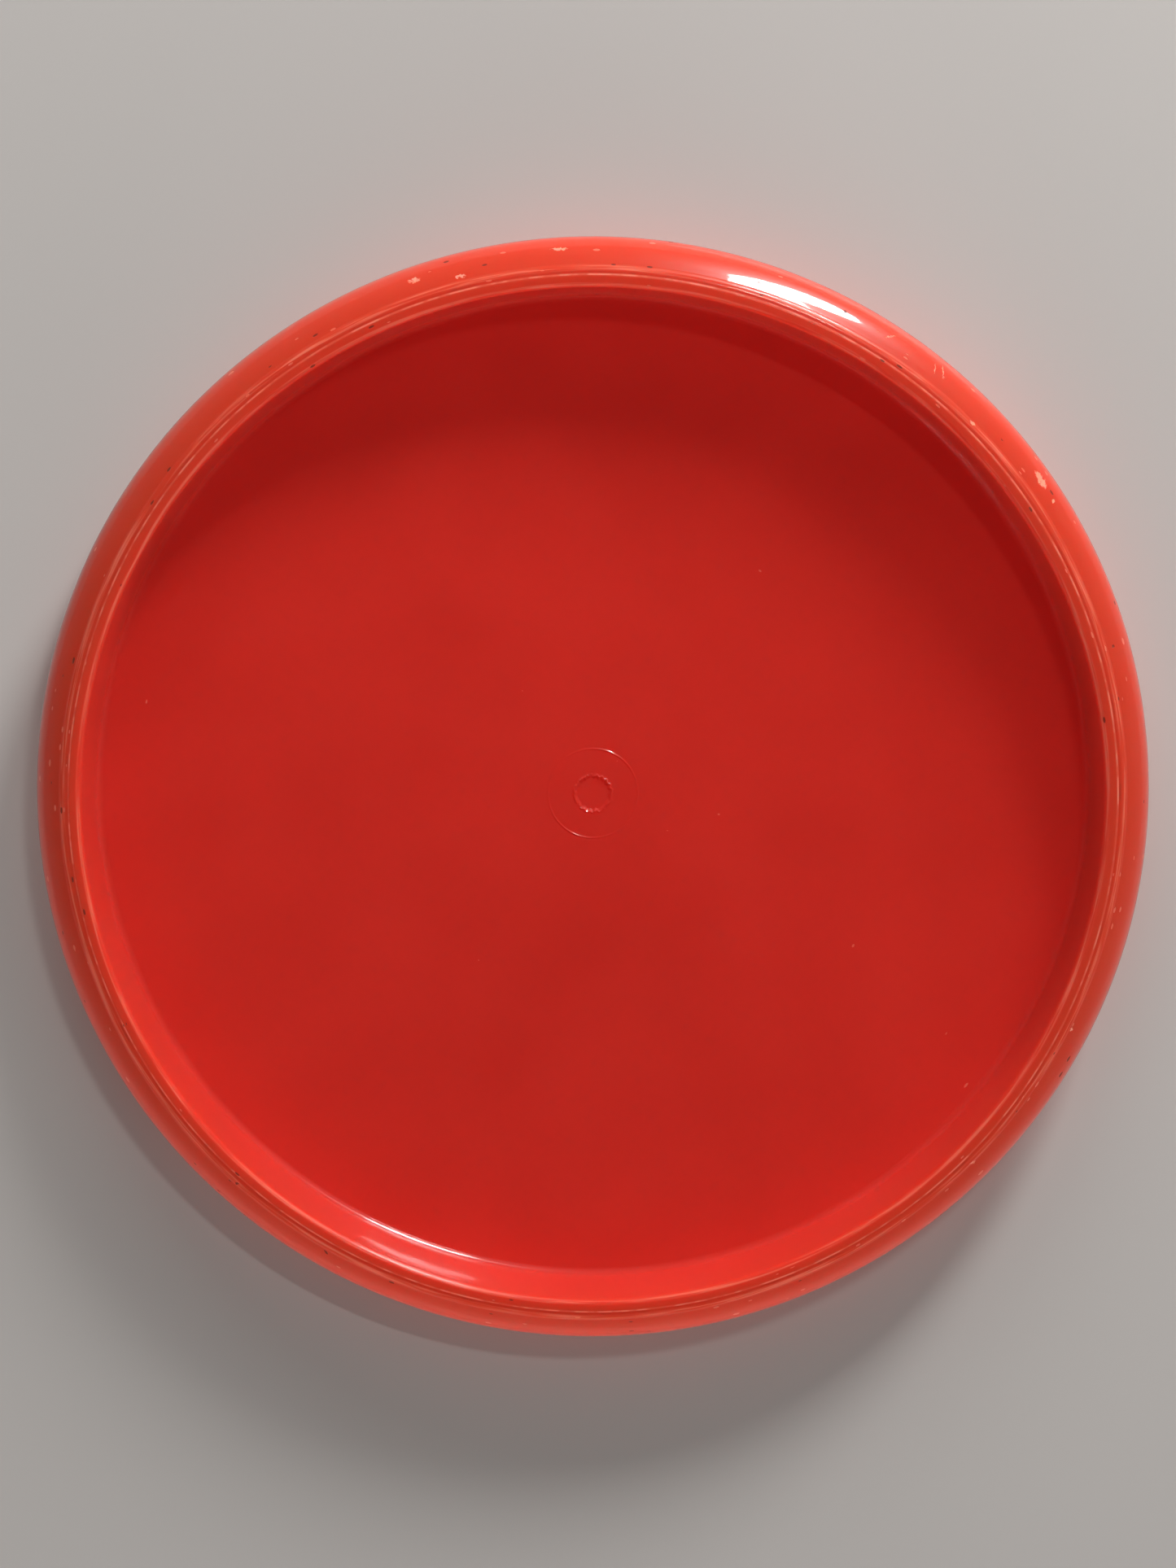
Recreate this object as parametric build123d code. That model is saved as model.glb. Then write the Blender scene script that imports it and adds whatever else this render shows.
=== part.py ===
"""Flying disc for disc golf: a beaded putter moulded in one shot of plastic.

The disc lies in its flight attitude, top side up, standing on the flat land of its rim.  The origin
is on the disc's axis in the plane of that land, and +Z goes up through the flight plate.  The whole
disc is one section turned about Z, drawn below as points (r, z), where r is the distance from the
axis.  All sizes are in millimetres and all angles in degrees.
"""
import math
import os
from build123d import *

# Outside of the rim
nose_diameter = 212.0      # across the nose, the widest part of the disc
nose_height = 7.7          # nose above the land
nose_radius = 5.0          # round of the nose above its widest part
upper_face_lean = 40.0     # the straight face above the nose leans this far inwards
shoulder_radius = 12.0     # round between that face and the flight plate

# Underside of the rim, measured inwards from the nose and upwards from the land
crease_inset = 5.15        # crease between the wing and the bead
crease_height = 0.95
bead_radius = 2.3          # round of the bead
step_inset = 6.8           # fine step between the bead and the land
step_height = 0.25
land_outer_inset = 7.35    # outer edge of the land, where the step begins
mouth_inset = 9.3          # inner wall, carried down to the land
mouth_round = 0.8          # round between the land and the inner wall

# Inner wall and flight plate
rim_depth = 13.3           # land to the plate's underside at the inner wall
wall_draft = 6.2           # the inner wall leans inwards as it goes up
corner_bevel = 0.8         # bevel between the inner wall and the plate
plate_thickness = 2.5
plate_rise = 2.0           # the middle of the plate is this much higher than its edge
flat_radius = 46.0         # flat middle of the plate, which slopes gently down outside it

# Gate mark in the middle of the plate's underside
gate_radius = 3.6          # crest of the lip left where the sprue was cut off
gate_lip_width = 0.9
gate_lip_height = 0.35
gate_slope_width = 0.7     # from the foot of the lip down into the hollow
gate_hollow = 0.3          # depth of the hollow inside the lip
ring_radius = 8.7          # faint raised ring round the gate
ring_width = 0.5
ring_height = 0.12

nose_reach = nose_diameter / 2
mouth_reach = nose_reach - mouth_inset
corner_reach = mouth_reach - rim_depth * math.tan(math.radians(wall_draft))
underside_height = rim_depth + plate_rise
disc_height = underside_height + plate_thickness
plate_slope = math.degrees(math.atan(plate_rise / (corner_reach - flat_radius)))


def heading(degrees):
    """Unit vector at an angle above the outward direction."""
    angle = math.radians(degrees)
    return Vector(math.cos(angle), math.sin(angle))


def crossing(start, direction, other_start, other_direction):
    """Point where two straight lines of the section cross."""
    gap = other_start - start
    turn = direction.X * other_direction.Y - direction.Y * other_direction.X
    return start + direction * ((gap.X * other_direction.Y - gap.Y * other_direction.X) / turn)


def raised_ring(radius, width, height):
    """Low rib round the axis on the plate's underside, standing out downwards."""
    inner_foot = (radius - width / 2, underside_height)
    crest = (radius, underside_height - height)
    outer_foot = (radius + width / 2, underside_height)
    return Polyline(inner_foot, crest, outer_foot)


def gate_mark():
    """Hollow, lip and faint ring at the gate, from the axis outwards."""
    lip_foot = gate_radius - gate_lip_width / 2
    hollow_reach = lip_foot - gate_slope_width
    hollow_top = underside_height + gate_hollow
    lip_end = (gate_radius + gate_lip_width / 2, underside_height)
    ring_start = (ring_radius - ring_width / 2, underside_height)
    return [
        Polyline((0, hollow_top), (hollow_reach, hollow_top), (lip_foot, underside_height)),
        raised_ring(gate_radius, gate_lip_width, gate_lip_height),
        Line(lip_end, ring_start),
        raised_ring(ring_radius, ring_width, ring_height),
    ]


def plate_underside():
    """Plate from the gate mark out to the inner wall: flat in the middle, then sloping down."""
    ring_end = (ring_radius + ring_width / 2, underside_height)
    return Polyline(ring_end, (flat_radius, underside_height), (corner_reach, rim_depth))


def inner_wall_and_land():
    """Inner wall down to the mouth, the flat land, and the step up to the bead."""
    land_edge = (nose_reach - land_outer_inset, 0)
    step = (nose_reach - step_inset, step_height)
    return Polyline((corner_reach, rim_depth), (mouth_reach, 0), land_edge, step)


def nose_point(degrees):
    """Point on the round of the nose, at an angle above its widest part."""
    return Vector(nose_reach - nose_radius, nose_height) + heading(degrees) * nose_radius


def shoulder_corner():
    """Where the straight face above the nose would meet the slope of the plate's top."""
    flat_edge = Vector(flat_radius, disc_height)
    return crossing(
        nose_point(upper_face_lean), heading(90 + upper_face_lean), flat_edge, heading(-plate_slope)
    )


def shoulder_room():
    """Largest shoulder radius that the straight face above the nose leaves room for."""
    face_length = (shoulder_corner() - nose_point(upper_face_lean)).length
    turn = math.radians(90 - upper_face_lean - plate_slope)
    return 0.98 * face_length / math.tan(turn / 2)


def rim_outside():
    """Bead, wing, nose and upper face, from the step up to the corner of the shoulder."""
    step = (nose_reach - step_inset, step_height)
    crease = (nose_reach - crease_inset, crease_height)
    face_start = nose_point(upper_face_lean)
    return [
        RadiusArc(step, crease, -bead_radius),
        TangentArc(nose_point(0), crease, tangent=heading(-90)),
        ThreePointArc(nose_point(0), nose_point(upper_face_lean / 2), face_start),
        Line(face_start, shoulder_corner()),
    ]


def plate_top():
    """Top of the flight plate, parallel to its underside, from the shoulder to the axis."""
    hollow_top = underside_height + gate_hollow
    flat_edge = (flat_radius, disc_height)
    return Polyline(shoulder_corner(), flat_edge, (0, disc_height), (0, hollow_top))


def corner_at(section, point):
    """The section's corner that lies at a point."""
    return section.vertices().sort_by_distance(Vector(*point))[0]


def disc_section():
    """Closed section of the whole disc on one side of its axis."""
    lines = gate_mark() + [plate_underside(), inner_wall_and_land()] + rim_outside() + [plate_top()]
    section = make_face(Curve() + lines)
    section = chamfer(corner_at(section, (corner_reach, rim_depth)), corner_bevel)
    section = fillet(corner_at(section, (mouth_reach, 0)), mouth_round)
    return fillet(corner_at(section, shoulder_corner()), min(shoulder_radius, shoulder_room()))


def disc_body():
    """The moulded disc: its section turned a full circle about Z."""
    return revolve(Plane.XZ * disc_section(), axis=Axis.Z)


def main():
    os.makedirs("parts", exist_ok=True)
    body = disc_body()
    body.label = "disc_body"
    export_step(body, "parts/disc_body.step")


if __name__ == "__main__":
    main()
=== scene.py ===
"""Looks of a moulded golf putter disc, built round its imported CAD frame.

The disc lies in its flight attitude: +Z goes up through the flight plate, and z = 0 is the flat
land of the rim.  The moulding is drawn again here as one smooth skin with the small forms and the
wear that the plain solid leaves out, and it gets a procedural finish.  Sizes are in metres, unless
a comment says mm.
"""

import math

import bpy
import numpy as np
from bpy.props import FloatProperty, FloatVectorProperty, IntProperty, PointerProperty
from bpy.types import Operator, Panel, PropertyGroup
from mathutils import Matrix, Quaternion, Vector


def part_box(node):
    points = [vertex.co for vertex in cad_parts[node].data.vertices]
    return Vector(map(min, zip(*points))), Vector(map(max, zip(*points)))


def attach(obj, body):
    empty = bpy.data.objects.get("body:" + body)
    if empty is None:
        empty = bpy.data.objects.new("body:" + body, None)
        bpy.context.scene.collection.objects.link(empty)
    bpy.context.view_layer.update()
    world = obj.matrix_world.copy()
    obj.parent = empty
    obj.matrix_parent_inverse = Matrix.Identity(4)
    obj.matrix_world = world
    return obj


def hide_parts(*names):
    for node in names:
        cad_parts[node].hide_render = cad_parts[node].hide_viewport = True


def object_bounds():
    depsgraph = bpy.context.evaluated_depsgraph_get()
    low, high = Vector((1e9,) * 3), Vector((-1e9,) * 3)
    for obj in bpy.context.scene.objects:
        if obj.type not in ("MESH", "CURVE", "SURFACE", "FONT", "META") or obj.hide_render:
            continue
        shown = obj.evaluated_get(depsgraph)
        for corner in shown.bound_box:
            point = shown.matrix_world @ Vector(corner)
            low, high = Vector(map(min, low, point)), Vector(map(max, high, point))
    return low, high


bl_info = {
    "name": "Golf Disc",
    "version": (1, 0, 0),
    "blender": (4, 5, 0),
    "location": "View3D > Sidebar > Golf Disc",
    "description": "Builds a moulded golf putter disc with its finish, wear and studio",
    "category": "Add Mesh",
}

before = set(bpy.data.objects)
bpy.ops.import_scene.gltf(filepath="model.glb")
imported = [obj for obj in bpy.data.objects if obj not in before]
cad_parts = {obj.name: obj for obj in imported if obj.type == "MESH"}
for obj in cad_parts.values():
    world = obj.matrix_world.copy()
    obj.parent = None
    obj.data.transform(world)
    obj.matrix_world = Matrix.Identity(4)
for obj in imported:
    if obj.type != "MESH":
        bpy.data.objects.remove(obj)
cad_low, cad_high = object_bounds()
body_low, body_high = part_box("disc_body")

MM = 0.001
NOSE_REACH = (body_high.x - body_low.x) / 2
DISC_HEIGHT = body_high.z - body_low.z

# Points of the rim, measured inwards from the nose and upwards from the land
MOUTH_INSET = 9.3 * MM
LAND_INSET = 7.35 * MM
STEP_INSET, STEP_HEIGHT = 6.8 * MM, 0.25 * MM
CREST_INSET = 5.85 * MM
CREASE_INSET, CREASE_HEIGHT = 5.15 * MM, 0.95 * MM

# Directions of the section's lines, in degrees above the outward direction
WALL_DRAFT = 6.2
FACE_LEAN = 40.0
BEAD_START, BEAD_END = 0.1, -134.1
WING_START, WING_END = 26.5, 40.0
WING_START_LENGTH = 1.62 * MM

# Rounds of the section's corners
WALL_TOP_ROUND = 1.5 * MM
MOUTH_ROUND = 1.2 * MM
LAND_ROUND = 0.12 * MM
CREASE_ROUND = 0.10 * MM
WING_ROUND = 13.0 * MM
PLATE_BEND_ROUND = 1.3

# Gate mark in the middle of the plate's underside
GATE_RECESS, GATE_SLOPE_WIDTH = 0.16 * MM, 0.35 * MM
LIP_HALF_WIDTH, LIP_HEIGHT = 0.3 * MM, 0.24 * MM
RING_HALF_WIDTH, RING_HEIGHT = 0.25 * MM, 0.12 * MM

# How the rows of the skin are shared out: per length, per length near the gate, and per turn
LENGTH_WEIGHT = 0.11 / MM
GATE_WEIGHT = 2.6 / MM
TURN_WEIGHT = 9.0
GATE_AREA_RADIUS = 12 * MM

# Stage
PAPER_HALF = 0.7            # half the side of a sheet
PAPER_FADE = (0.30, 0.62)   # the sheets fade out between these distances from the origin
PAPER_TONE_SEEN = 0.85      # how bright the lit paper looks, as a share of its colour
PAPER_IN_GLOSS = 0.8        # how strongly the gloss shows the sheets
PAPER_GAP = 0.2 * MM
HORIZON_TONE = 0.16         # what the gloss shows of the world level with the disc
HORIZON_REACH = 0.45        # share of a direction's rise at which that tone has faded out
LIGHT_DISTANCE = 1.2
# Broad soft light: direction that it comes from, and strength
WORLD_LOBES = [((0, 0, -1), 0.12), ((0, 0, 1), 0.45)]
CAMERA_PLACE = Vector((-2.9, -92.3, -598.1)) * MM
CAMERA_AIM = Vector((-0.98, -3.0, 7.45)) * MM
CAMERA_UP = Vector((0, -1, 0))
CAMERA_LENS = 73.7


# ---------------------------------------------------------------- sizes and colours

def length(name, default, description):
    """A length property in metres, shown in the scene's unit."""
    return FloatProperty(
        name=name, default=default, description=description, unit="LENGTH", min=0.0, precision=5
    )


def colour(name, default, description):
    """A linear colour property."""
    return FloatVectorProperty(
        name=name, default=default, description=description,
        subtype="COLOR", size=3, min=0.0, max=1.0,
    )


def fraction(name, default, description):
    """A plain number from 0 to 1."""
    return FloatProperty(
        name=name, default=default, description=description, min=0.0, max=1.0
    )


class DiscSizes(PropertyGroup):
    """Sizes of the disc's section."""

    nose_reach: length("Nose Reach", NOSE_REACH, "From the axis to the widest part of the rim")
    disc_height: length("Height", DISC_HEIGHT, "From the land to the top of the flight plate")
    nose_height: length("Nose Height", 7.7 * MM, "Widest part above the land")
    nose_radius: length("Nose Radius", 5.0 * MM, "Round above the widest part")
    shoulder_radius: length("Shoulder Radius", 12.0 * MM, "Round between rim and plate top")
    bead_radius: length("Bead Radius", 2.1 * MM, "Round of the bead under the rim")
    rim_depth: length("Rim Depth", 13.3 * MM, "From the land to the plate at the inner wall")
    plate_thickness: length("Plate Thickness", 2.5 * MM, "Thickness of the flight plate")
    flat_radius: length("Flat Radius", 46.0 * MM, "Flat middle of the flight plate")
    gate_radius: length("Gate Radius", 3.6 * MM, "Torn lip in the middle of the underside")
    ring_radius: length("Ring Radius", 8.7 * MM, "Faint witness ring round the gate")
    turns: IntProperty(
        name="Segments", default=600, min=64, description="Steps round the disc's axis"
    )
    rows: IntProperty(name="Rows", default=160, min=40, description="Steps along the section")


class DiscFinish(PropertyGroup):
    """Colours and wear of the plastic, with a painted glow on the rim, painted highlights and
    painted shade.
    """

    plastic: colour("Plastic", (0.67, 0.036, 0.023), "Orange red of the moulding")
    # Thick Plastic is the plastic painted more orange: a painted glow of light through the thick
    # rim.
    thick_glow: colour("Thick Plastic", (0.62, 0.053, 0.023), "The same plastic in the thick rim")
    # Scuffed is the pale of real wear and nicks, and is also painted on the land's edges and the
    # bead's crest as painted highlight.
    scuffed_and_highlit: colour("Scuffed", (0.86, 0.30, 0.20), "Paler plastic where it is rubbed or nicked")
    # The dirt colour also paints shade into the groove by the bead.
    dirt_and_shade: colour("Dirt", (0.16, 0.030, 0.018), "Specks of dirt pressed into the rim")
    # The scuff strength also sets how strong the painted highlight on the land and the bead is.
    scuff_and_highlight_strength: fraction("Scuffs", 0.75, "How much the land and the bead are rubbed pale")


class StudioSettings(PropertyGroup):
    """Light and backdrop."""

    paper: colour("Paper", (0.57, 0.54, 0.515), "Pale paper behind and below the disc")
    key_watts: FloatProperty(
        name="Key Light", default=14.4, min=0.0, description="Power of the key light",
        unit="POWER",
    )
    room: FloatProperty(
        name="Room Light", default=0.03, min=0.0,
        description="Strength of the even light all round",
    )


# Wear on the underside of the rim: angle, radius, length and width in mm, and tilt from the run
# of the rim.
NICKS = [
    (-93.5, 103.8, 3.6, 0.55, 3), (-36.2, 103.5, 4.2, 1.5, 4), (-33.6, 103.2, 0.8, 0.5, 20),
    (-51.3, 103.9, 2.6, 0.30, 52), (-52.2, 103.4, 2.0, 0.24, 60), (-57.8, 103.5, 2.4, 0.26, -38),
    (-45.5, 100.4, 1.6, 0.6, 0), (-104.0, 101.6, 2.2, 0.8, 5), (-108.7, 103.3, 2.6, 1.0, 8),
    (43.7, 100.7, 1.4, 0.5, 10), (25.4, 101.1, 0.9, 0.45, 20),
]
GOUGES = [
    (120.5, 101.4, 1.2, 0.55, 25), (-17.1, 102.1, 0.7, 0.6, 0), (-63.2, 103.2, 1.1, 0.6, 15),
    (-72.0, 100.1, 0.7, 0.4, 0), (133.0, 100.3, 0.6, 0.5, 0),
]


# ---------------------------------------------------------------- section of the disc

def cross(a, b):
    """Area product of two flat vectors."""
    return a[0] * b[1] - a[1] * b[0]


def meet(start, heading, other, other_heading):
    """Point where the line through start along its heading crosses the line through other."""
    start, heading, other, other_heading = map(
        np.asarray, (start, heading, other, other_heading)
    )
    return start + heading * (cross(other - start, other_heading) / cross(heading, other_heading))


def way(degrees):
    """Unit vector at an angle above the outward direction."""
    return np.array([math.cos(math.radians(degrees)), math.sin(math.radians(degrees))])


def round_corner(before, corner, after, radius, points=24):
    """Arc of the given radius that touches both legs of a corner.

    The arc starts on the first leg, radius * tan(turn / 2) before the corner, and follows the
    circle whose centre lies on the corner's bisector at radius / cos(turn / 2).
    """
    into = (corner - before) / np.linalg.norm(corner - before)
    out = (after - corner) / np.linalg.norm(after - corner)
    turn = math.atan2(cross(into, out), into @ out)
    start = corner - into * radius * math.tan(abs(turn) / 2)
    side = np.array([-into[1], into[0]]) * math.copysign(1, turn)
    swing = np.linspace(0, abs(turn), points)[:, None]
    return start + radius * (into * np.sin(swing) + side * (1 - np.cos(swing)))


def low_rib(radius, half_width, height, plate, foot_round, crest_round):
    """Corners of a low rib that hangs from the plate's underside: foot, crest and foot."""
    return [
        (radius - half_width, plate, foot_round),
        (radius, plate - height, crest_round),
        (radius + half_width, plate, foot_round),
    ]


def section_corners(s):
    """Corners of the section as (r, z, radius of the round), from the gate round to the top."""
    plate = s.disc_height - s.plate_thickness
    recess_edge = s.gate_radius - LIP_HALF_WIDTH - GATE_SLOPE_WIDTH
    gate = [(recess_edge, plate + GATE_RECESS, 0.15 * MM)]
    gate += low_rib(s.gate_radius, LIP_HALF_WIDTH, LIP_HEIGHT, plate, 0.15 * MM, 0.06 * MM)
    gate += low_rib(s.ring_radius, RING_HALF_WIDTH, RING_HEIGHT, plate, 0.12 * MM, 0.14 * MM)

    mouth = s.nose_reach - MOUTH_INSET
    wall_top = mouth - s.rim_depth * math.tan(math.radians(WALL_DRAFT))
    step = np.array([s.nose_reach - STEP_INSET, STEP_HEIGHT])
    crease = np.array([s.nose_reach - CREASE_INSET, CREASE_HEIGHT])
    bead_corner = meet(crease, way(BEAD_END), step, way(BEAD_START))

    nose_line = (s.nose_reach, 0), (0, 1)
    wing_corner = crease + way(WING_START) * WING_START_LENGTH
    under_nose = meet(wing_corner, way(WING_END), *nose_line)
    under_nose_radius = (s.nose_height - under_nose[1]) / math.tan(math.radians(45 - WING_END / 2))

    slope = math.degrees(math.atan((plate - s.rim_depth) / (wall_top - s.flat_radius)))
    nose_centre = np.array([s.nose_reach - s.nose_radius, s.nose_height])
    face_start = nose_centre + way(FACE_LEAN) * s.nose_radius
    face = face_start, way(90 + FACE_LEAN)
    nose_corner = meet(*face, *nose_line)
    shoulder = meet(*face, (s.flat_radius, s.disc_height), way(-slope))
    return gate + [
        (s.flat_radius, plate, PLATE_BEND_ROUND),
        (wall_top, s.rim_depth, WALL_TOP_ROUND),
        (mouth, 0.0, MOUTH_ROUND),
        (s.nose_reach - LAND_INSET, 0.0, LAND_ROUND),
        (*step, CREASE_ROUND),
        (*bead_corner, s.bead_radius),
        (*crease, CREASE_ROUND),
        (*wing_corner, WING_ROUND),
        (*under_nose, 0.985 * under_nose_radius),
        (*nose_corner, s.nose_radius),
        (*shoulder, s.shoulder_radius),
        (s.flat_radius, s.disc_height, PLATE_BEND_ROUND),
    ]


def section_path(s):
    """The whole section as a fine line of points, from the axis underneath to the axis on top."""
    corners = section_corners(s)
    points = [np.array([0.0, corners[0][1]])]
    points += [np.array(c[:2]) for c in corners]
    points.append(np.array([0.0, s.disc_height]))
    pieces = [points[0][None]]
    for before, corner, after, data in zip(points, points[1:], points[2:], corners):
        pieces.append(round_corner(before, corner, after, data[2]))
    pieces.append(points[-1][None])
    return np.concatenate(pieces)


def spaced_rows(path, rows):
    """Rows along the path, closer where it bends and near the gate.

    The path is walked in even steps.  Each step weighs its length, more so near the gate, plus the
    angle that it turns, and rows are set at even shares of the total weight.
    """
    run = np.concatenate([[0], np.cumsum(np.linalg.norm(np.diff(path, axis=0), axis=1))])
    keep = np.concatenate([[True], np.diff(run) > 1e-9])
    path, run = path[keep], run[keep]
    even = np.linspace(0, run[-1], 20000)
    line = np.stack([np.interp(even, run, path[:, 0]), np.interp(even, run, path[:, 1])], axis=1)
    heading = np.unwrap(np.arctan2(*np.gradient(line, axis=0).T[::-1]))
    turning = np.abs(np.gradient(heading))
    near_gate = (line[:, 0] < GATE_AREA_RADIUS) & (line[:, 1] < line[-1, 1] - 1 * MM)
    weight = np.gradient(even) * (LENGTH_WEIGHT + GATE_WEIGHT * near_gate) + TURN_WEIGHT * turning
    share = np.cumsum(weight)
    share = (share - share[0]) / (share[-1] - share[0])
    at = np.interp(np.linspace(0, 1, rows), share, even)
    return np.stack([np.interp(at, even, line[:, 0]), np.interp(at, even, line[:, 1])], axis=1)


def waves(angle, seed, lowest, highest):
    """Smooth random value round the axis: a sum of cosines of whole counts with random phases."""
    random = np.random.default_rng(seed)
    counts = np.arange(lowest, highest + 1)
    phases = random.uniform(0, 2 * np.pi, counts.size)
    sizes = random.uniform(0.4, 1.0, counts.size) / np.sqrt(counts.size)
    return (np.cos(angle[..., None] * counts + phases) * sizes).sum(-1)


def moulding_grid(s):
    """The disc's skin as arrays x, y, z over rows of the section and steps of the angle.

    Each row of the section is turned about Z.  Near the axis, the height of the torn lip of the
    gate and of the faint ring is multiplied by a share that changes with the angle, and the lip
    wanders a little in and out.
    """
    rows = spaced_rows(section_path(s), s.rows)[1:-1]
    angle = np.linspace(0, 2 * np.pi, s.turns, endpoint=False)
    r = np.repeat(rows[:, :1], s.turns, axis=1)
    z = np.repeat(rows[:, 1:], s.turns, axis=1)
    plate = s.disc_height - s.plate_thickness
    under = z < plate + 0.5 * MM
    hangs = z < plate

    lip = under & (np.abs(r - s.gate_radius) < 0.7 * MM)
    torn = 0.62 + 0.55 * waves(angle, 3, 2, 9) + 0.25 * waves(angle, 5, 12, 40)
    z = np.where(lip & hangs, plate + (z - plate) * np.clip(torn, 0.12, 1.0), z)
    ragged = 0.16 * MM * waves(angle, 8, 3, 24)
    r = np.where(under & (r < s.gate_radius + 0.6 * MM) & (r > 1.5 * MM), r + ragged, r)

    ring = under & (np.abs(r - s.ring_radius) < 0.5 * MM)
    faint = np.clip(0.20 + 0.6 * np.cos(angle - math.radians(-60)) ** 2, 0.1, 1.0)
    z = np.where(ring & hangs, plate + (z - plate) * faint, z)
    return r * np.cos(angle), r * np.sin(angle), z


def closed_skin(name, x, y, z, low_pole, high_pole):
    """Mesh of a grid that closes round its second axis, with a fan to a pole at each end."""
    rows, turns = x.shape
    points = np.stack([x, y, z], axis=-1).reshape(-1, 3)
    points = np.concatenate([points, [low_pole, high_pole]])
    index = np.arange(rows * turns).reshape(rows, turns)
    ahead = np.roll(index, -1, axis=1)
    quads = np.stack([index[:-1], index[1:], ahead[1:], ahead[:-1]], axis=-1).reshape(-1, 4)
    low = np.full(turns, rows * turns)
    bottom = np.stack([low, index[0], ahead[0]], axis=-1)
    top = np.stack([low + 1, ahead[-1], index[-1]], axis=-1)
    triangles = np.concatenate([bottom, top])
    loops = np.concatenate([quads.ravel(), triangles.ravel()])
    starts = np.concatenate([
        np.arange(len(quads)) * 4,
        len(quads) * 4 + np.arange(len(triangles)) * 3,
    ])
    mesh = bpy.data.meshes.new(name)
    mesh.vertices.add(len(points))
    mesh.vertices.foreach_set("co", points.ravel())
    mesh.loops.add(len(loops))
    mesh.loops.foreach_set("vertex_index", loops)
    mesh.polygons.add(len(starts))
    mesh.polygons.foreach_set("loop_start", starts)
    mesh.update(calc_edges=True)
    mesh.validate()
    mesh.shade_smooth()
    return mesh


# ---------------------------------------------------------------- shader nodes

class Nodes:
    """Short calls that add and link the nodes of one material or of the world."""

    def __init__(self, tree):
        self.tree = tree

    def add(self, kind, *inputs, **settings):
        """New node with its settings, and its inputs given in order as values or sockets."""
        node = self.tree.nodes.new(kind)
        for key, value in settings.items():
            setattr(node, key, value)
        for socket, value in zip(node.inputs, inputs):
            self.put(socket, value)
        return node

    def put(self, socket, value):
        """Links a socket, sets a value, or leaves the default for None."""
        if isinstance(value, bpy.types.NodeSocket):
            self.tree.links.new(value, socket)
        elif value is not None:
            socket.default_value = value

    def math(self, operation, a, b=None, c=None):
        """Result of one Math node."""
        return self.add("ShaderNodeMath", a, b, c, operation=operation).outputs[0]

    def most(self, *values):
        """Largest of several values."""
        result = values[0]
        for value in values[1:]:
            result = self.math("MAXIMUM", result, value)
        return result

    def vector(self, operation, a, b=None):
        """Vector that one Vector Math node gives."""
        return self.add("ShaderNodeVectorMath", a, b, operation=operation).outputs["Vector"]

    def measure(self, operation, a, b=None):
        """Number that one Vector Math node gives."""
        return self.add("ShaderNodeVectorMath", a, b, operation=operation).outputs["Value"]

    def scaled(self, vector, factor):
        """Vector times a plain number."""
        node = self.add("ShaderNodeVectorMath", vector, operation="SCALE")
        node.inputs["Scale"].default_value = factor
        return node.outputs[0]

    def ramp(self, value, low, high, to_low=0.0, to_high=1.0):
        """Smooth step of a value between two limits, from one result to another."""
        node = self.add("ShaderNodeMapRange", interpolation_type="SMOOTHSTEP")
        self.put(node.inputs["Value"], value)
        node.inputs["From Min"].default_value = low
        node.inputs["From Max"].default_value = high
        self.put(node.inputs["To Min"], to_low)
        self.put(node.inputs["To Max"], to_high)
        return node.outputs["Result"]

    def band(self, value, middle, half):
        """Mask that is 1 at the middle and falls smoothly to 0 half a width away."""
        off = self.math("ABSOLUTE", self.math("SUBTRACT", value, middle))
        return self.ramp(off, half * 0.35, half, 1.0, 0.0)

    def marks(self, place, rows):
        """Mask of small oval marks, each given by angle, radius, length, width and tilt.

        For each mark a Mapping node moves the mark's middle to the origin, turns it level and
        divides by its half sizes, so the mark is where the result is shorter than 1.  The shortest
        of all the results is kept, and it fades out round 1.
        """
        nearest = 2.0
        for azimuth, radius, long, wide, tilt in rows:
            turn = math.radians(azimuth)
            middle = (radius * math.cos(turn), radius * math.sin(turn), 0)
            node = self.add("ShaderNodeMapping", place, vector_type="TEXTURE")
            node.inputs["Location"].default_value = middle
            node.inputs["Rotation"].default_value = (0, 0, turn + math.radians(90 + tilt))
            node.inputs["Scale"].default_value = (long / 2, wide / 2, 9.0)
            nearest = self.math("MINIMUM", nearest, self.measure("LENGTH", node.outputs[0]))
        return self.ramp(nearest, 0.7, 1.05, 1.0, 0.0)

    def noise_node(self, place, scale, detail=2.0, roughness=0.5):
        """Noise texture, whose Fac is one random value and whose Color holds three."""
        node = self.add("ShaderNodeTexNoise", place)
        node.inputs["Scale"].default_value = scale
        node.inputs["Detail"].default_value = detail
        node.inputs["Roughness"].default_value = roughness
        return node

    def noise(self, place, scale, detail=2.0, roughness=0.5):
        """Factor of a Noise texture."""
        return self.noise_node(place, scale, detail, roughness).outputs["Fac"]

    def blend(self, factor, a, b):
        """Mix of two colours."""
        node = self.add("ShaderNodeMix", data_type="RGBA")
        self.put(node.inputs["Factor"], factor)
        self.put(node.inputs[6], a)
        self.put(node.inputs[7], b)
        return node.outputs[2]

    def bump(self, height, depth_mm):
        """Normal of a relief whose full height is depth_mm."""
        node = self.add("ShaderNodeBump")
        node.inputs["Distance"].default_value = depth_mm * MM
        self.put(node.inputs["Height"], height)
        return node.outputs["Normal"]


def solid(rgb):
    """Colour with full alpha, as the sockets take it."""
    return (*rgb, 1.0)


def empty_material(name):
    """New material with no nodes, and the calls that fill it."""
    material = bpy.data.materials.new(name)
    material.use_nodes = True
    material.node_tree.nodes.clear()
    return material, Nodes(material.node_tree)


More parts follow.
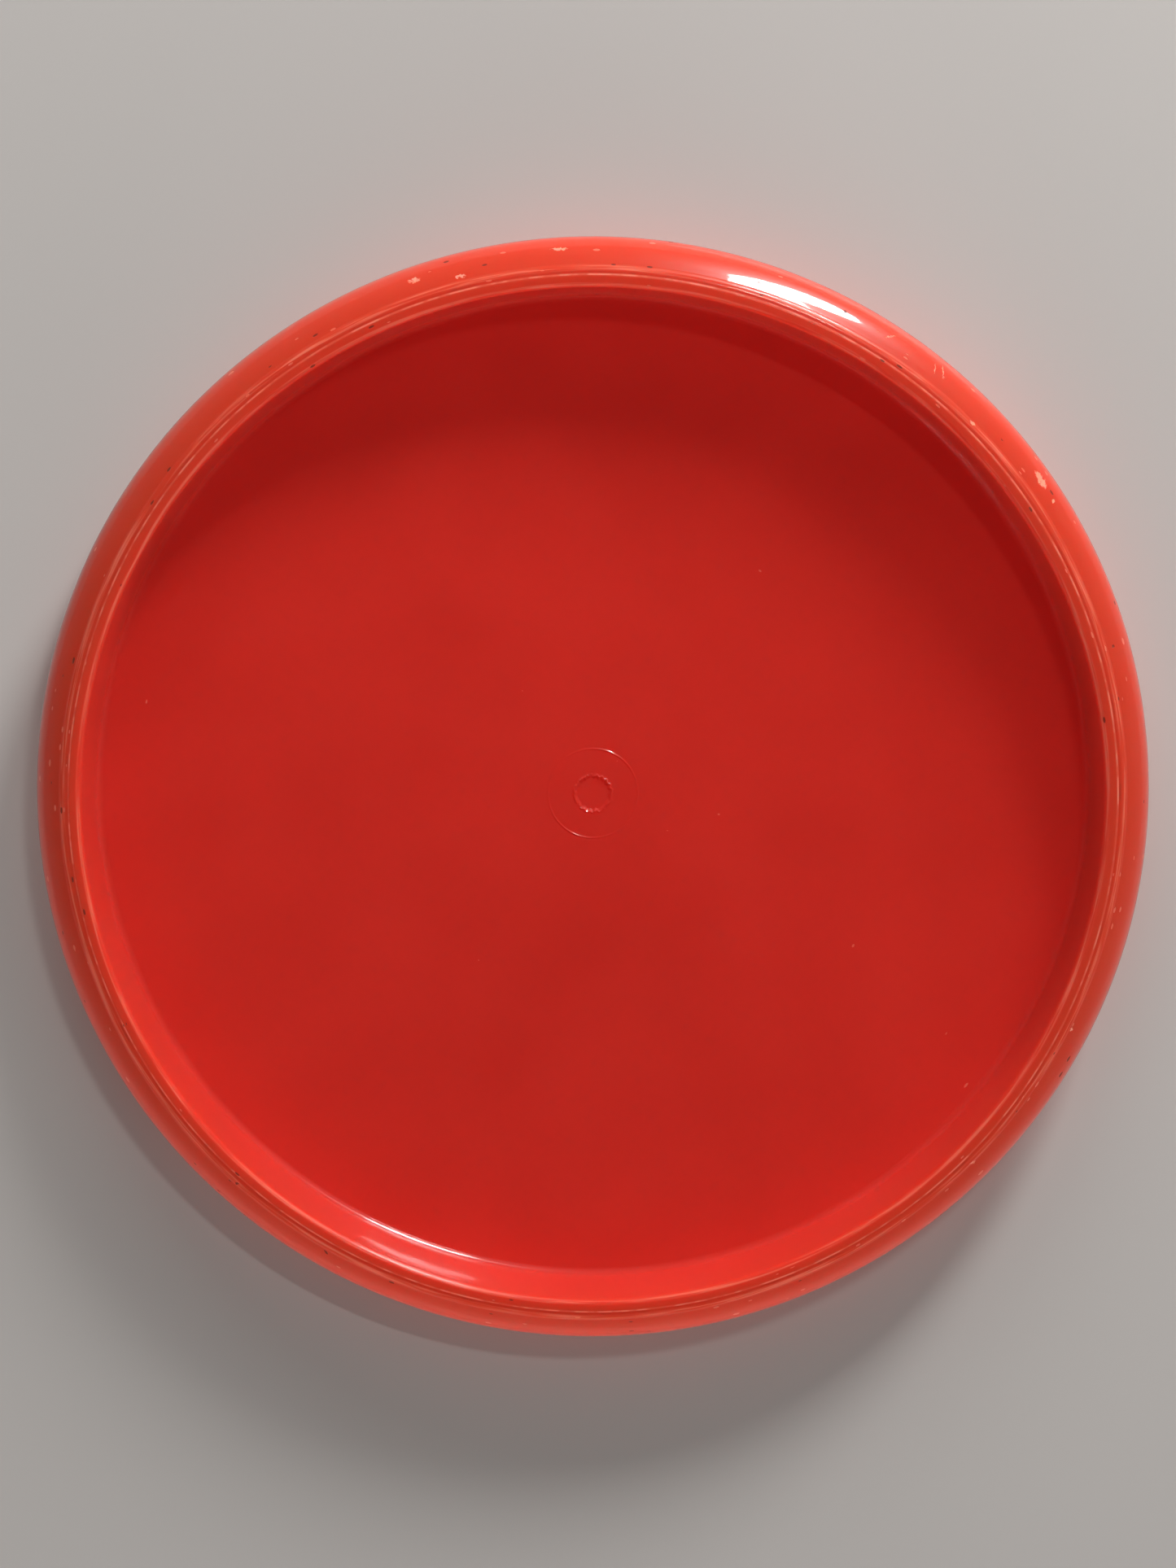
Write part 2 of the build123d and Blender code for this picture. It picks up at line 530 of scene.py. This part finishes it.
def plastic_material(finish, sizes):
    """Glossy, slightly translucent moulded plastic with its wear, a painted glow on the rim,
    painted highlights and painted shade, laid out by radius in mm.
    """
    mouth = (sizes.nose_reach - MOUTH_INSET) / MM
    land_edge = (sizes.nose_reach - LAND_INSET) / MM
    step = (sizes.nose_reach - STEP_INSET) / MM
    crest = (sizes.nose_reach - CREST_INSET) / MM
    gate = sizes.gate_radius / MM

    material, n = empty_material("moulded_plastic")
    place = n.scaled(n.add("ShaderNodeTexCoord").outputs["Object"], 1 / MM)
    x, y, z = n.add("ShaderNodeSeparateXYZ", place).outputs
    r = n.math("SQRT", n.math("ADD", n.math("MULTIPLY", x, x), n.math("MULTIPLY", y, y)))
    below = n.ramp(z, 6.0, 7.0, 1.0, 0.0)

    # Streaks run round the disc: their noise is stretched along x and y and squeezed along the
    # radius.
    across = [n.math("MULTIPLY", x, 0.07), n.math("MULTIPLY", y, 0.07), n.math("MULTIPLY", r, 2.6)]
    streaks = n.noise(n.add("ShaderNodeCombineXYZ", *across).outputs[0], 1.0, 2.0, 0.6)
    blotches = n.noise(place, 0.22, 2.0, 0.6)
    grainy = n.noise_node(place, 1.6)
    grain = grainy.outputs["Fac"]
    ragged = n.vector("SUBTRACT", grainy.outputs["Color"], (0.5, 0.5, 0.5))
    ragged_place = n.vector("ADD", place, n.scaled(ragged, 1.1))

    # The plate is softly clouded, and the thick rim is painted more orange as a painted glow of
    # strong light shining through the thick plastic.
    cloud = n.noise(place, 0.05, 1.0, 0.5)
    darker = [c * k for c, k in zip(finish.plastic, (0.86, 0.76, 0.76))]
    tint = n.blend(cloud, solid(finish.plastic), solid(darker))
    rim = n.ramp(r, mouth - 1.1, mouth + 1.7)
    tint = n.blend(rim, tint, solid(finish.thick_glow))

    # Rubbed rings that are also painted highlight: the land's inner edge, its outer edge and the
    # crest of the bead are painted pale where highlights lie on them, with some real rubbing.
    rubbed_and_highlit = n.math(
        "MULTIPLY", n.band(r, mouth + 0.45, 0.45), n.ramp(streaks, 0.35, 0.65, 0.0, 0.5)
    )
    edge = n.math(
        "MULTIPLY", n.band(r, land_edge + 0.3, 0.22), n.ramp(blotches, 0.4, 0.6, 0.2, 0.8)
    )
    bead = n.math(
        "MULTIPLY", n.band(r, crest, 0.62), n.ramp(streaks, 0.4, 0.68, 0.0, 0.6)
    )
    worn_and_highlit = n.math("MULTIPLY", n.most(rubbed_and_highlit, edge, bead), below)
    worn_and_highlit = n.math("MULTIPLY", worn_and_highlit, finish.scuff_and_highlight_strength)

    # Knocks: cells laid along the rim, some of which hold one small round mark, pale or dark.
    angle = n.math("ARCTAN2", y, x)
    along = n.add(
        "ShaderNodeCombineXYZ", n.math("MULTIPLY", angle, 30.0), n.math("MULTIPLY", r, 0.9)
    )
    cells = n.add("ShaderNodeTexVoronoi", voronoi_dimensions="2D")
    n.put(cells.inputs["Vector"], along.outputs[0])
    cells.inputs["Scale"].default_value = 1.0
    chance = n.add("ShaderNodeSeparateColor", cells.outputs["Color"]).outputs
    spots = n.math("MULTIPLY_ADD", chance[2], -0.12, cells.outputs["Distance"])
    spots = n.ramp(spots, 0.05, 0.10, 1.0, 0.0)
    often = n.ramp(r, mouth - 1.7, mouth + 3.1, 0.001, 0.06)
    pale_spots = n.math("MULTIPLY", spots, n.math("LESS_THAN", chance[0], often))
    seldom = n.ramp(r, mouth - 1.7, mouth + 3.1, 1.0, 0.96)
    dark_spots = n.math("MULTIPLY", spots, n.math("GREATER_THAN", chance[0], seldom))

    # Nicks are pale and gouges are dark.  The groove by the bead is darkened here and there with
    # painted shade.
    nicks = n.math("MULTIPLY", n.marks(ragged_place, NICKS), n.ramp(grain, 0.3, 0.5, 0.5, 1.0))
    gouges = n.marks(ragged_place, GOUGES)
    groove_shade = n.math("MULTIPLY", n.band(r, step + 0.2, 0.2), n.ramp(blotches, 0.5, 0.7, 0.0, 0.3))
    groove_shade = n.math("MULTIPLY", groove_shade, below)

    pale = n.most(worn_and_highlit, nicks, n.math("MULTIPLY", pale_spots, 0.45))
    tint = n.blend(pale, tint, solid(finish.scuffed_and_highlit))
    dark = n.most(groove_shade, gouges, dark_spots)
    tint = n.blend(n.math("MULTIPLY", dark, 0.85), tint, solid(finish.dirt_and_shade))

    # Worn edges lose most of their clear gloss.
    marked = n.most(pale, dark)
    edges = n.most(n.band(r, mouth + 0.6, 0.75), n.band(r, crest + 0.15, 0.8))
    dull = n.most(marked, edges)

    # Relief in mm: slow waviness of the moulding, turning marks on the rim, wear, and what is
    # sunk in.
    torn = n.band(r, gate, 0.5)
    wear = n.most(n.math("MULTIPLY", worn_and_highlit, 0.4), n.math("MULTIPLY", torn, 0.8))
    sunk = n.most(nicks, gouges, pale_spots, dark_spots)
    height = n.math("MULTIPLY", n.noise(place, 0.08, 0.0, 0.5), 0.035)
    height = n.math("MULTIPLY_ADD", n.math("MULTIPLY", streaks, rim), 0.0018, height)
    height = n.math("MULTIPLY_ADD", n.math("MULTIPLY", grain, wear), 0.06, height)
    height = n.math("MULTIPLY_ADD", sunk, -0.10, height)

    shader = n.add("ShaderNodeBsdfPrincipled")
    n.put(shader.inputs["Base Color"], tint)
    n.put(shader.inputs["Roughness"], n.math("MULTIPLY_ADD", marked, 0.3, 0.28))
    n.put(shader.inputs["Coat Weight"], n.math("MULTIPLY_ADD", dull, -0.8, 1.0))
    n.put(shader.inputs["Normal"], n.bump(height, 1.0))
    shader.inputs["Coat Roughness"].default_value = 0.05
    shader.inputs["Specular IOR Level"].default_value = 0.2
    shader.inputs["IOR"].default_value = 1.49
    shader.inputs["Subsurface Weight"].default_value = 0.8
    shader.inputs["Subsurface Radius"].default_value = (1.0, 0.2, 0.1)
    shader.inputs["Subsurface Scale"].default_value = 9.0 * MM
    n.add("ShaderNodeOutputMaterial", shader.outputs[0])
    return material


def paper_material(paper, fade_start, fade_end):
    """Pale paper seen by the camera and in the gloss, and only from its front.

    It catches the disc's shadow near the disc and fades out to the even background beyond it.
    """
    material, n = empty_material("studio_paper")
    away = n.measure("LENGTH", n.add("ShaderNodeTexCoord").outputs["Object"])
    near = n.ramp(away, fade_start, fade_end, 1.0, 0.0)
    rays = n.add("ShaderNodeLightPath").outputs
    seen = n.math("MULTIPLY_ADD", rays["Is Glossy Ray"], PAPER_IN_GLOSS, rays["Is Camera Ray"])
    facing = n.math("SUBTRACT", 1.0, n.add("ShaderNodeNewGeometry").outputs["Backfacing"])
    shown = n.math("MULTIPLY", n.math("MULTIPLY", seen, facing), near)
    clear = n.add("ShaderNodeBsdfTransparent")
    matt = n.add("ShaderNodeBsdfDiffuse", solid(paper))
    mix = n.add("ShaderNodeMixShader", shown, clear.outputs[0], matt.outputs[0])
    n.add("ShaderNodeOutputMaterial", mix.outputs[0])
    return material


# ---------------------------------------------------------------- pieces

class DISC_OT_moulding(Operator):
    """Builds the disc's one moulding and gives it its plastic"""

    bl_idname = "golf_disc.moulding"
    bl_label = "Moulding"

    def execute(self, context):
        s = context.scene.disc_sizes
        x, y, z = moulding_grid(s)
        gate_top = s.disc_height - s.plate_thickness + GATE_RECESS
        mesh = closed_skin("moulding", x, y, z, (0, 0, gate_top), (0, 0, s.disc_height))
        disc = bpy.data.objects.new("moulding", mesh)
        context.scene.collection.objects.link(disc)
        disc.data.materials.append(plastic_material(context.scene.disc_finish, s))
        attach(disc, "root")
        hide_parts("disc_body")
        return {"FINISHED"}


# ---------------------------------------------------------------- stage

def sheet_of_paper(name, height, facing_up, half, material):
    """Flat square at a height, whose front faces up or down."""
    corners = [(-half, -half), (half, -half), (half, half), (-half, half)]
    if not facing_up:
        corners.reverse()
    mesh = bpy.data.meshes.new(name)
    mesh.from_pydata([(cx, cy, height) for cx, cy in corners], [], [(0, 1, 2, 3)])
    paper = bpy.data.objects.new(name, mesh)
    bpy.context.scene.collection.objects.link(paper)
    mesh.materials.append(material)
    return paper


def from_below(azimuth, elevation):
    """Direction whose azimuth turns from +X towards -Y; elevation 90 is straight down."""
    a, e = math.radians(azimuth), math.radians(elevation)
    return (math.cos(a) * math.cos(e), -math.sin(a) * math.cos(e), -math.sin(e))


def soft_light(name, direction, width, height, watts, aim, glossy, roll):
    """Oval lamp that stands off the aim and faces it, rolled by some degrees.

    Without glossy, it lights the disc and shows no reflection.
    """
    data = bpy.data.lights.new(name, "AREA")
    data.shape = "ELLIPSE"
    data.size = width
    data.size_y = height
    data.energy = watts
    lamp = bpy.data.objects.new(name, data)
    towards = Vector(direction).normalized()
    lamp.location = aim + towards * LIGHT_DISTANCE
    turn = towards.to_track_quat("Z", "Y") @ Quaternion((0, 0, 1), math.radians(roll))
    lamp.rotation_euler = turn.to_euler()
    lamp.visible_camera = False
    lamp.visible_glossy = glossy
    bpy.context.scene.collection.objects.link(lamp)
    return lamp


def studio_world(colour_seen, even, lobes):
    """Soft light all round, with the paper's own tone where the camera sees past the paper.

    The light from a direction is the even part plus, for each lobe, its strength times the squared
    cosine of the angle between that direction and the lobe's.  The gloss shows no lobes: there the
    world is pale near the horizon and has the even part above and below.
    """
    world = bpy.data.worlds.new("studio")
    world.use_nodes = True
    tree = world.node_tree
    tree.nodes.clear()
    n = Nodes(tree)
    direction = n.add("ShaderNodeTexCoord").outputs["Generated"]
    strength = even
    for towards, power in lobes:
        cosine = n.math("MAXIMUM", n.measure("DOT_PRODUCT", direction, towards), 0.0)
        strength = n.math("MULTIPLY_ADD", n.math("MULTIPLY", cosine, cosine), power, strength)
    rays = n.add("ShaderNodeLightPath").outputs
    level = n.math("ABSOLUTE", n.add("ShaderNodeSeparateXYZ", direction).outputs[2])
    mirrored = n.ramp(level, 0.0, HORIZON_REACH, HORIZON_TONE, even)
    strength = n.ramp(rays["Is Glossy Ray"], 0.0, 1.0, strength, mirrored)
    light = n.add("ShaderNodeBackground", (1.0, 0.97, 0.95, 1.0), strength)
    seen = n.add("ShaderNodeBackground", solid(colour_seen), 1.0)
    mix = n.add("ShaderNodeMixShader", rays["Is Camera Ray"], light.outputs[0], seen.outputs[0])
    n.add("ShaderNodeOutputWorld", mix.outputs[0])
    bpy.context.scene.world = world


def aimed_camera(location, aim, up, lens):
    """Camera at a place, turned to the aim and rolled so that the given direction is up."""
    data = bpy.data.cameras.new("camera")
    data.lens = lens
    data.sensor_width = 36.0
    data.clip_start = 0.01
    camera = bpy.data.objects.new("camera", data)
    forward = (aim - location).normalized()
    right = forward.cross(up).normalized()
    true_up = right.cross(forward)
    turn = Matrix((right, true_up, -forward)).transposed()
    camera.matrix_world = Matrix.Translation(location) @ turn.to_4x4()
    bpy.context.scene.collection.objects.link(camera)
    bpy.context.scene.camera = camera
    return camera


class DISC_OT_studio(Operator):
    """Sets up the papers, the lights and the camera, which looks at the disc from below"""

    bl_idname = "golf_disc.studio"
    bl_label = "Studio"

    def execute(self, context):
        scene = context.scene
        settings = scene.disc_studio
        scene.view_settings.view_transform = "Standard"
        paper = paper_material(settings.paper, *PAPER_FADE)
        floor = sheet_of_paper("floor", cad_low.z, True, PAPER_HALF, paper)
        floor.visible_glossy = False
        sheet_of_paper("backdrop", cad_high.z + PAPER_GAP, False, PAPER_HALF, paper)
        tone_seen = [c * PAPER_TONE_SEEN for c in settings.paper]
        studio_world(tone_seen, settings.room, WORLD_LOBES)

        # Name, direction, width, height, watts, whether the gloss shows it, and roll in degrees
        lamps = [
            ("key_below", from_below(65, 19), 0.42, 0.21, settings.key_watts, True, 48),
            ("window_below", from_below(95, 20), 0.80, 0.40, 5.8, False, 0),
            ("strip_below", from_below(63, 57.5), 0.20, 0.035, 1.8, True, 0),
            ("bounce_below", from_below(-90, 5), 0.80, 0.30, 6.3, False, 0),
            ("bounce_right", from_below(-45, 5), 0.60, 0.30, 6.0, False, 0),
            ("bounce_left", from_below(-128, 5), 0.90, 0.30, 6.6, False, 0),
            ("sheen_above", from_below(60, -32), 0.80, 0.50, 2.5, True, 0),
            ("key_above", (0.45, -0.55, 0.70), 0.80, 0.80, 8.5, False, 0),
        ]
        middle = (cad_low + cad_high) / 2
        for name, direction, width, height, watts, glossy, roll in lamps:
            soft_light(name, direction, width, height, watts, middle, glossy, roll)
        aimed_camera(CAMERA_PLACE, CAMERA_AIM, CAMERA_UP, CAMERA_LENS)
        return {"FINISHED"}


# ---------------------------------------------------------------- add-on

class DISC_PT_panel(Panel):
    """Lists the disc's sizes and finish, and the steps that build it"""

    bl_idname = "DISC_PT_panel"
    bl_label = "Golf Disc"
    bl_space_type = "VIEW_3D"
    bl_region_type = "UI"
    bl_category = "Golf Disc"

    def draw(self, context):
        layout = self.layout
        scene = context.scene
        for group in (scene.disc_sizes, scene.disc_finish, scene.disc_studio):
            box = layout.box()
            for name in type(group).__annotations__:
                box.prop(group, name)
        layout.operator(DISC_OT_moulding.bl_idname)
        layout.operator(DISC_OT_studio.bl_idname)


classes = (DiscSizes, DiscFinish, StudioSettings, DISC_OT_moulding, DISC_OT_studio, DISC_PT_panel)


def register():
    for item in classes:
        bpy.utils.register_class(item)
    bpy.types.Scene.disc_sizes = PointerProperty(type=DiscSizes)
    bpy.types.Scene.disc_finish = PointerProperty(type=DiscFinish)
    bpy.types.Scene.disc_studio = PointerProperty(type=StudioSettings)


def unregister():
    del bpy.types.Scene.disc_studio
    del bpy.types.Scene.disc_finish
    del bpy.types.Scene.disc_sizes
    for item in reversed(classes):
        bpy.utils.unregister_class(item)


def main():
    """Builds everything in order."""
    register()
    bpy.ops.golf_disc.moulding()
    bpy.ops.golf_disc.studio()


if __name__ == "__main__":
    main()
